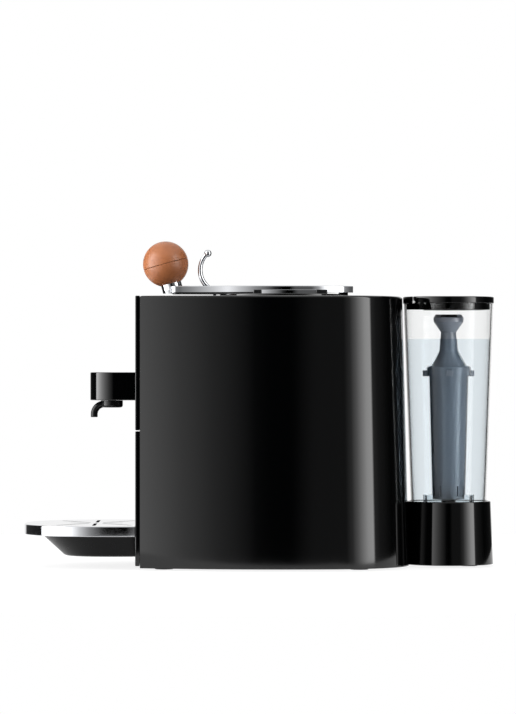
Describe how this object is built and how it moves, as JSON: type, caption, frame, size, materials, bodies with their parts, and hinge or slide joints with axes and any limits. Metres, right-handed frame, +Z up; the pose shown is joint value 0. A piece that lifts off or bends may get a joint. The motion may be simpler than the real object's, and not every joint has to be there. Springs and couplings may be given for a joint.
{
  "type": "pod coffee machine",
  "caption": "Upright coffee machine with a lift-up chrome lid lever and ball grip, a cup tray on a drawer, a swivelling spout nozzle and a clear rear water tank.",
  "frame": {"origin": "on the table, under the middle of the machine's bounding box", "axes": "+X to the rear, where the tank is; -X to the cup tray and spout; +Z up"},
  "size_m": [0.46, 0.22, 0.3181],
  "materials": {
    "gloss_black": "high gloss",
    "matt_black": "fine matt",
    "satin_black": "satin",
    "black_rubber": "matt",
    "grey_plastic": "moulded",
    "dark_plastic": "moulded",
    "steel": "brushed",
    "cast_aluminium": "as cast",
    "pump_metal": "satin paint",
    "white_plastic": "moulded",
    "clear_hose": "milky silicone",
    "circuit_board": "solder mask",
    "button_face": "gloss",
    "polished_chrome": "mirror polish",
    "tan_leather": "smooth waxed",
    "clear_plastic": "clear polished",
    "filter_grey": "satin"
  },
  "bodies": {
    "chassis": {"outer_shell": "gloss_black", "base_plate": "matt_black", "rubber_feet": "black_rubber", "front_panel": "gloss_black", "top_deck": "satin_black", "mains_gland": "black_rubber", "inner_frame": "grey_plastic", "base_screws": "steel", "brew_chamber": "dark_plastic", "pod_seat": "steel", "thermoblock": "cast_aluminium", "pump": "pump_metal", "pump_mounts": "black_rubber", "flow_meter": "white_plastic", "cold_water_hose": "clear_hose", "pump_inlet_hose": "clear_hose", "pressure_hose": "white_plastic", "hot_water_hose": "white_plastic", "brew_outlet_hose": "clear_hose", "control_board": "circuit_board", "button_board": "circuit_board", "spout_housing": "gloss_black", "spout_inlet": "steel", "hinge_bracket": "steel", "lever_hinge_pin": "steel", "latch_keeper": "dark_plastic", "tank_base": "gloss_black", "tank_coupling": "dark_plastic"},
    "lever": {"lever_arm": "polished_chrome", "arm_liner": "matt_black", "latch_tongue": "steel", "cap_carrier": "gloss_black", "carrier_screws": "steel", "pressure_cap": "dark_plastic", "cap_seal": "black_rubber", "ball_socket": "polished_chrome", "ball_lower": "tan_leather", "ball_upper": "tan_leather", "ball_bolt": "steel", "trigger_pin": "steel"},
    "trigger": {"trigger_horn": "polished_chrome"},
    "gate": {"chamber_gate": "dark_plastic"},
    "nozzle": {"outlet_nozzle": "satin_black"},
    "drawer": {"drawer_front": "gloss_black", "pod_bin": "dark_plastic", "drip_bowl": "matt_black"},
    "grate": {"drip_grate": "polished_chrome"},
    "tank": {"tank_vessel": "clear_plastic", "tank_valve": "dark_plastic", "tank_seal": "black_rubber", "lid_hinge_block": "gloss_black", "lid_hinge_pin": "steel"},
    "lid": {"tank_lid": "gloss_black"},
    "filter": {"filter_cartridge": "filter_grey", "filter_head": "filter_grey"},
    "small_cup_button": {"button_small_cup": "button_face"},
    "power_button": {"button_power": "button_face"},
    "large_cup_button": {"button_large_cup": "button_face"}
  },
  "joints": [
    {"name": "lever_swing", "type": "hinge", "parent": "chassis", "child": "lever", "pos_m": [0.082, 0, 0.2625], "axis": [0, 1, 0], "range_deg": [0, 65]},
    {"name": "trigger_pull", "type": "hinge", "parent": "lever", "child": "trigger", "pos_m": [-0.049, 0, 0.2712], "axis": [0, -1, 0], "range_deg": [0, 8], "stiffness_Nm_per_rad": 0.12},
    {"name": "gate_slide", "type": "slide", "parent": "chassis", "child": "gate", "axis": [1, 0, 0], "range_m": [0, 0.0525]},
    {"name": "nozzle_swivel", "type": "hinge", "parent": "chassis", "child": "nozzle", "pos_m": [-0.1445, 0, 0.165], "axis": [0, 0, 1], "range_deg": [-40, 40]},
    {"name": "drawer_slide", "type": "slide", "parent": "chassis", "child": "drawer", "axis": [-1, 0, 0], "range_m": [0, 0.19]},
    {"name": "grate_lift", "type": "slide", "parent": "drawer", "child": "grate", "axis": [0, 0, 1], "range_m": [0, 0.05]},
    {"name": "tank_lift", "type": "slide", "parent": "chassis", "child": "tank", "axis": [0, 0, 1], "range_m": [0, 0.26]},
    {"name": "lid_swing", "type": "hinge", "parent": "tank", "child": "lid", "pos_m": [0.153, 0, 0.261], "axis": [0, -1, 0], "range_deg": [0, 85]},
    {"name": "filter_turn", "type": "hinge", "parent": "tank", "child": "filter", "pos_m": [0.1853, 0, 0.2], "axis": [0, 0, 1], "range_deg": [0, 90]},
    {"name": "small_cup_press", "type": "slide", "parent": "chassis", "child": "small_cup_button", "axis": [1, 0, 0], "range_m": [0, 0.0015], "stiffness_N_per_m": 400},
    {"name": "power_press", "type": "slide", "parent": "chassis", "child": "power_button", "axis": [1, 0, 0], "range_m": [0, 0.0015], "stiffness_N_per_m": 400},
    {"name": "large_cup_press", "type": "slide", "parent": "chassis", "child": "large_cup_button", "axis": [1, 0, 0], "range_m": [0, 0.0015], "stiffness_N_per_m": 400}
  ],
  "couplings": [
    {"joint": "gate_slide", "follows": "lever_swing", "m_per_rad": 0.046}
  ]
}
